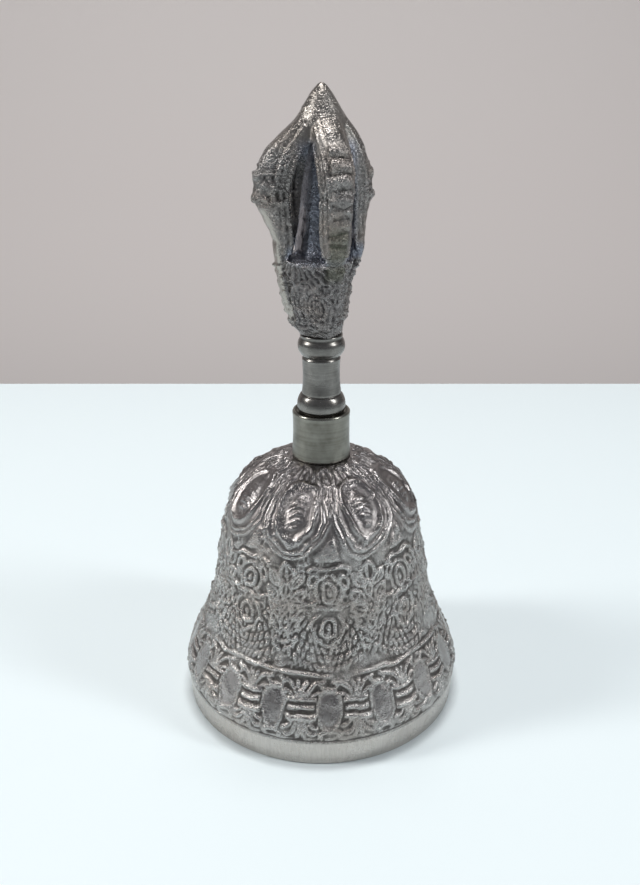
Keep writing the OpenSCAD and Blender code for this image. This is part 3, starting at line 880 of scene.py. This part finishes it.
def block_foliage(angle, z, points, front):
    """Height of the ornament on a face of the block: a fan of leaf veins at its top, an oval
    swirl, and fine folds that fall to the foot; angle is from a prong's root. The casting's
    unevenness bends every line; front is 1 where it also covers the root."""
    flat = block_radius(z) * 0.8
    quarter = math.pi / 2
    x = ((angle % quarter) - quarter / 2) * flat
    x = x + 0.35 * grain(points, 1.6, 61) + 0.3 * grain(points, 4.0, 62)
    z = z + 0.35 * grain(points, 1.6, 63) + 0.3 * grain(points, 4.0, 64)
    fan = np.arctan2(x + 1.2, 110.5 - z)
    veins = (0.5 + 0.5 * np.cos(fan * 2 * math.pi / 0.2)) * step_up(103.4, 104.2, z)
    edge = ridge(z - 103.6 - 0.5 * np.cos(x * 2.1), 0.4)
    swirl = oval(x, z, 1.9, 98.6, 1.5, 2.6, 12)
    rings = (0.35 + 0.65 * np.abs(np.cos(swirl * math.pi / 0.75))) * (swirl < 1.1)
    folds = np.abs(np.cos((x + 0.25 * (z - 98) + 0.5 * np.sin(z * 0.9)) * math.pi / 0.95))
    folds = folds * (swirl >= 1.1) * (z < 103.2) * (z > 94.6)
    foot = ridge(z - 93.9 - 0.3 * np.cos(x * 2.6), 0.5)
    total = np.maximum.reduce([0.85 * veins, edge, rings, 0.8 * folds, 0.9 * foot])
    nicks = np.clip(1 - np.abs(grain(points, 1.1, 66)) / 0.25, 0, 1)
    total = total * (0.75 + 0.5 * grain(points, 1.9, 65)) + 0.6 * nicks
    on_face = np.maximum(1 - step_up(0.6, 0.78, np.abs(x) / flat), front)
    return total * on_face * step_up(92.6, 93.4, z) * (1 - step_up(107.2, 108.0, z))


def make_head():
    """Half-vajra casting: block, four prongs, a four-sided centre prong and the cap, merged
    by a voxel remesh, eased as a casting is, then given its foliage and roughness."""
    cast = Lumps()
    add_block(cast)
    for index, (reach, inwards, gain) in enumerate(zip(REACH, THICKER, WIDER)):
        turn = 180 + PRONG_TURN + 90 * index
        add_prong(cast, reach, inwards, gain, turn)
        outer = ROOTS[index]
        rows = catmull(np.stack([ROOT_Z, outer - 2.6, outer], axis=-1), 30)
        cast.add(*radial_loft(rows, np.linspace(1.5, 2.0, 30), 3.2), turn)
    z = np.array([106.5, 108.6, 110.4, 112.5, 115.0, 118.0, 121.0, 124.5, 128.0, 131.0, 134.0])
    r = np.array([6.4, 6.3, 6.0, 5.7, 5.3, 4.95, 4.6, 4.1, 3.3, 2.6, 1.8])
    n = len(z)
    stations = np.stack([np.zeros(n), np.zeros(n), z], axis=-1)
    cast.add(*loft(stations, r, r, np.tile([1.0, 0, 0], (n, 1)), np.tile([0, 1.0, 0], (n, 1)), 1.35, 48),
             PRONG_TURN + 45)
    z = np.array([131.0, 133.0, 134.6, 136.2, 137.6, 138.8, 140.0, 141.1, 141.9, 142.35, 142.55])
    r = np.array([2.0, 4.4, 4.95, 4.75, 4.05, 3.35, 2.6, 1.85, 1.15, 0.7, 0.3])
    fine = catmull(np.stack([r, z], axis=-1), 50)
    stations = np.stack([np.zeros(50), np.zeros(50), fine[:, 1]], axis=-1)
    cast.add(*loft(stations, fine[:, 0], fine[:, 0], np.tile([1.0, 0, 0], (50, 1)),
                   np.tile([0, 1.0, 0], (50, 1)), 2.0, 48))
    cast.add(*ball((3.3, 0, 137.7), (0.9, 1.7, 0.75)), 180 + PRONG_TURN)
    points, quads = merged(cast)
    edges = face_edges([quads])
    counts = np.bincount(edges.ravel(), minlength=len(points)).astype(float)
    eased = neighbours_mean(points, edges, counts, 2)
    normals = mesh_normals(eased, quads)
    x, y, z = eased.T
    r = np.hypot(x, y)
    angle = np.arctan2(y, x) - math.radians(180 + PRONG_TURN)
    outward = (normals[:, 0] * x + normals[:, 1] * y) / np.maximum(r, 0.1)
    quarter = math.pi / 2
    which = np.round(angle / quarter) % 4
    across = ((angle + quarter / 2) % quarter - quarter / 2) * r
    front = np.where(which == 1, 1.0, 0.0)
    foliage = 0.5 * block_foliage(angle, z, eased, front) * step_up(0.3, 0.7, outward)
    on_back = step_up(0.35, 0.7, outward) * (1 - step_up(1.6, 2.3, np.abs(across)))
    along = z + 0.5 * grain(eased, 2.2, 55)
    rungs = np.abs(np.cos(along * math.pi / 2.9)) * (0.8 + 0.4 * grain(eased, 2.4, 57))
    rungs *= on_back * step_up(109.0, 111.5, z) * (1 - step_up(130.5, 132.5, z)) * np.maximum(front, 0.15)
    makara = step_up(118.8, 119.8, z) * (1 - step_up(127.0, 128.2, z)) * step_up(8.6, 9.6, r)
    makara = makara * (1 - front * on_back)
    worm = np.clip(1 - np.abs(grain(eased, 1.6, 56)) / 0.3, 0, 1)
    pitted = step_up(107, 109, z) * (1 - step_up(119, 123, z))
    calm = step_up(128, 133, z)
    skin = 0.05 * grain(eased, 1.0, 51) + 0.02 * grain(eased, 0.55, 52) + 0.12 * grain(eased, 3.2, 53)
    lift = foliage + 0.85 * rungs + 0.3 * makara * worm + 0.08 * pitted * worm + skin * (1 - 0.55 * calm)
    eased = eased + normals * lift[:, None]
    eased[:, 2] = np.maximum(eased[:, 2], HEAD_Z)
    out = stand_out(edges, eased, mesh_normals(eased, quads), 12, 0.25)
    deep = step_up(5.8, 8.2, r) * step_up(109.5, 112, z)
    # painted reflection: marks the faces within the windows, and the centre prong, for the blue tint
    inside = (1 - deep) * step_up(107, 108.5, z) * (1 - step_up(130, 133, z)) * (1 - step_up(8.5, 9.5, r))
    narrow = 1 - step_up(1.6, 2.4, np.abs(across))
    strip = step_up(0.5, 0.8, outward) * (1 - step_up(118, 119.5, z)) * narrow * step_up(94, 96, z)
    smooth_arm = np.maximum(0.5 * calm, strip * (which == 0))
    # painted shade: the block below the prongs darker, except on the smooth arm
    dusk = 0.42 * (1 - step_up(106.5, 108.5, z)) * (1 - smooth_arm)
    green_span = step_up(103.5, 105.5, z) * (1 - step_up(113, 118, z))
    olive = green_span * narrow * front * step_up(0.3, 0.7, outward)
    return put_mesh("vajra_head_cast", eased, [quads], head_metal, "bell", ["vajra_head"],
                    {"stands_out": out, "inside": inside, "smooth": smooth_arm, "olive": olive,
                     "dusk": dusk})


def merged(cast):
    """Points and quads of the outer skin of overlapping closed forms, by a voxel remesh."""
    rough = bpy.data.meshes.new("head_forms")
    groups = [f.tolist() for f in cast.faces]
    rough.from_pydata(np.vstack(cast.points).tolist(), [], [c for group in groups for c in group])
    form = bpy.data.objects.new("head_forms", rough)
    bpy.context.scene.collection.objects.link(form)
    merge = form.modifiers.new("merge", "REMESH")
    merge.mode = "VOXEL"
    merge.voxel_size = HEAD_GRAIN
    solid = form.evaluated_get(bpy.context.evaluated_depsgraph_get()).to_mesh()
    points = np.empty(len(solid.vertices) * 3)
    solid.vertices.foreach_get("co", points)
    corners = np.empty(len(solid.loops), dtype=np.int64)
    solid.loops.foreach_get("vertex_index", corners)
    form.to_mesh_clear()
    bpy.data.objects.remove(form)
    bpy.data.meshes.remove(rough)
    return points.reshape(-1, 3), corners.reshape(-1, 4)


def mesh_normals(points, quads):
    """Outward normal at each point: the mean of its faces' normals."""
    a, b, c, d = (points[quads[:, k]] for k in range(4))
    flat = np.cross(c - a, d - b)
    total = np.stack([sum(np.bincount(quads[:, k], flat[:, m], len(points)) for k in range(4))
                      for m in range(3)], axis=-1)
    return total / np.maximum(np.linalg.norm(total, axis=1, keepdims=True), 1e-9)


make_bell()
make_collar()
make_spindle()
make_head()

for node, material in (("eye_bolt", steel), ("crown_washer", steel), ("crown_nut", steel),
                       ("clapper_link", steel), ("clapper_rod", steel), ("striker", striker_metal)):
    carried = bpy.data.objects.get(node)
    if carried:
        carried.data.materials.clear()
        carried.data.materials.append(material)


# ---------------------------------------------------------------- floor, light and camera

def plain_sheet(name, corners, colour, roughness):
    """Flat quad of floor or wall, in metres, not joined to any of the bell's bodies."""
    mesh = bpy.data.meshes.new(name)
    mesh.from_pydata(corners, [], [(0, 1, 2, 3)])
    sheet = bpy.data.objects.new(name, mesh)
    bpy.context.scene.collection.objects.link(sheet)
    m = Recipe(name)
    mesh.materials.append(m.finish(colour, roughness, 0.0))


EDGE_Y = 0.225
WALL_Y = 0.9
SIDE_X = 2
plain_sheet("floor", [(-SIDE_X, -2, 0), (SIDE_X, -2, 0), (SIDE_X, EDGE_Y, 0), (-SIDE_X, EDGE_Y, 0)],
            (0.83, 0.91, 0.93), 0.5)
plain_sheet("wall", [(-SIDE_X, WALL_Y, -1), (SIDE_X, WALL_Y, -1), (SIDE_X, WALL_Y, 2),
                     (-SIDE_X, WALL_Y, 2)], (0.7, 0.645, 0.62), 0.8)


def soft_light(name, place, target, size, power, colour=(1, 1, 1)):
    """Square soft light at a place, in metres, facing a target."""
    data = bpy.data.lights.new(name, "AREA")
    data.shape = "RECTANGLE"
    data.size, data.size_y = size
    data.energy = power
    data.color = colour
    lamp = bpy.data.objects.new(name, data)
    bpy.context.scene.collection.objects.link(lamp)
    way = np.array(target, dtype=float) - np.array(place, dtype=float)
    lamp.location = place
    yaw = math.atan2(way[1], way[0]) - math.pi / 2
    pitch = math.atan2(way[2], math.hypot(way[0], way[1])) + math.pi / 2
    lamp.rotation_euler = (pitch, 0, yaw)


soft_light("light_left", (-0.75, -0.1, 0.55), (0, 0, 0.07), (0.14, 0.42), 3.6, (1.0, 0.99, 0.97))
soft_light("light_right", (0.7, -0.25, 0.5), (0, 0, 0.07), (0.12, 0.38), 2.3, (0.97, 0.99, 1.0))
soft_light("light_top", (0.0, 0.1, 0.85), (0, 0, 0), (0.26, 0.2), 3.6)
soft_light("light_wall", (0, 0.4, -0.25), (0, 0.9, 0.35), (2.4, 0.12), 2.9)

bpy.context.scene.view_settings.view_transform = "Standard"

world = bpy.data.worlds.new("studio")
bpy.context.scene.world = world
world.use_nodes = True
world.node_tree.nodes["Background"].inputs[0].default_value = (0.9, 0.93, 1.0, 1)
world.node_tree.nodes["Background"].inputs[1].default_value = 0.22

LOOK_DOWN = 23.16
SENSOR = 36.0
FOCAL_SHARE = 900 / 885
camera_data = bpy.data.cameras.new("camera")
camera = bpy.data.objects.new("camera", camera_data)
bpy.context.scene.collection.objects.link(camera)
camera.location = (-0.0003, -0.1918, 0.147)
camera.rotation_euler = (math.radians(90 - LOOK_DOWN), 0, 0)
camera_data.sensor_width = SENSOR
camera_data.lens = SENSOR * FOCAL_SHARE
camera_data.clip_start = 0.01
bpy.context.scene.camera = camera
